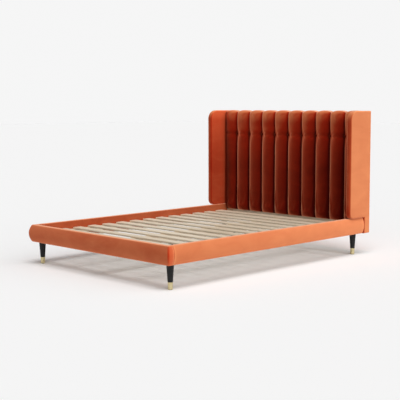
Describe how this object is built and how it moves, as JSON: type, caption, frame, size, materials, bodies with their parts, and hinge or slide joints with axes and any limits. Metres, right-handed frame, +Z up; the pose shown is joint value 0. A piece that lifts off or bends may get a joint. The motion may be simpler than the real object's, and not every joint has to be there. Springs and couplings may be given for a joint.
{
  "type": "upholstered bed frame",
  "caption": "Double bed frame covered in burnt orange velvet: winged, channelled headboard with a row of buttons, rounded rails, timber slats and black tapered legs in brass ferrules.",
  "frame": {"origin": "on the floor, under the middle of the whole frame", "axes": "+X across the bed to its right side as seen from the foot end, +Y from the foot end to the headboard, +Z up"},
  "size_m": [1.512, 2.12, 1.102],
  "materials": {
    "velvet": "burnt orange velvet over foam, short pile with a pale sheen",
    "velvet_buttons": "velvet stretched over a button",
    "softwood": "planed pine",
    "slat_timber": "planed pine slats",
    "plywood": "birch plywood",
    "black_lacquered_wood": "black satin lacquer",
    "brass": "brushed brass",
    "felt": "pressed felt",
    "webbing": "woven cotton tape",
    "painted_steel": "black powder coat",
    "zinc_plated_steel": "zinc plate",
    "black_nylon": "moulded nylon"
  },
  "bodies": {
    "bed": {"foot_rail_core": "softwood", "foot_rail_pad": "velvet", "side_rail_core_left": "softwood", "side_rail_core_right": "softwood", "side_rail_pad_left": "velvet", "side_rail_pad_right": "velvet", "corner_block_foot_left": "softwood", "corner_block_foot_right": "softwood", "corner_block_head_left": "softwood", "corner_block_head_right": "softwood", "leg_foot_left": "black_lacquered_wood", "leg_foot_right": "black_lacquered_wood", "leg_head_left": "black_lacquered_wood", "leg_head_right": "black_lacquered_wood", "ferrule_foot_left": "brass", "ferrule_foot_right": "brass", "ferrule_head_left": "brass", "ferrule_head_right": "brass", "glide_foot_left": "felt", "glide_foot_right": "felt", "glide_head_left": "felt", "glide_head_right": "felt", "slat_ledger_left": "softwood", "slat_ledger_right": "softwood", "slats": "slat_timber", "slat_tape_left": "webbing", "slat_tape_right": "webbing", "centre_rail": "softwood", "centre_rail_hanger_foot": "painted_steel", "centre_rail_hanger_head": "painted_steel", "centre_leg_foot": "black_nylon", "centre_leg_head": "black_nylon", "centre_leg_inserts": "brass", "headboard_front_board": "plywood", "headboard_stile_left": "softwood", "headboard_stile_right": "softwood", "headboard_top_rail": "softwood", "headboard_middle_rail": "softwood", "headboard_bottom_rail": "softwood", "headboard_back_panel": "plywood", "headboard_back_cover": "velvet", "channel_pad": "velvet", "tuft_buttons": "velvet_buttons", "wing_core_left": "plywood", "wing_core_right": "plywood", "wing_pad_left": "velvet", "wing_pad_right": "velvet", "tee_nuts": "zinc_plated_steel", "hanger_bolts": "zinc_plated_steel", "corner_bolts": "zinc_plated_steel", "wing_bolts": "zinc_plated_steel", "block_screws": "zinc_plated_steel", "ledger_screws": "zinc_plated_steel", "hanger_screws": "zinc_plated_steel"},
    "level_foot_near_foot_end": {"level_stud_foot": "zinc_plated_steel", "level_foot_foot": "black_nylon"},
    "level_foot_near_head_end": {"level_stud_head": "zinc_plated_steel", "level_foot_head": "black_nylon"}
  },
  "joints": [
    {"name": "level_foot_end", "type": "slide", "parent": "bed", "child": "level_foot_near_foot_end", "axis": [0, 0, -1], "range_m": [-0.008, 0.02]},
    {"name": "level_head_end", "type": "slide", "parent": "bed", "child": "level_foot_near_head_end", "axis": [0, 0, -1], "range_m": [-0.008, 0.02]}
  ]
}
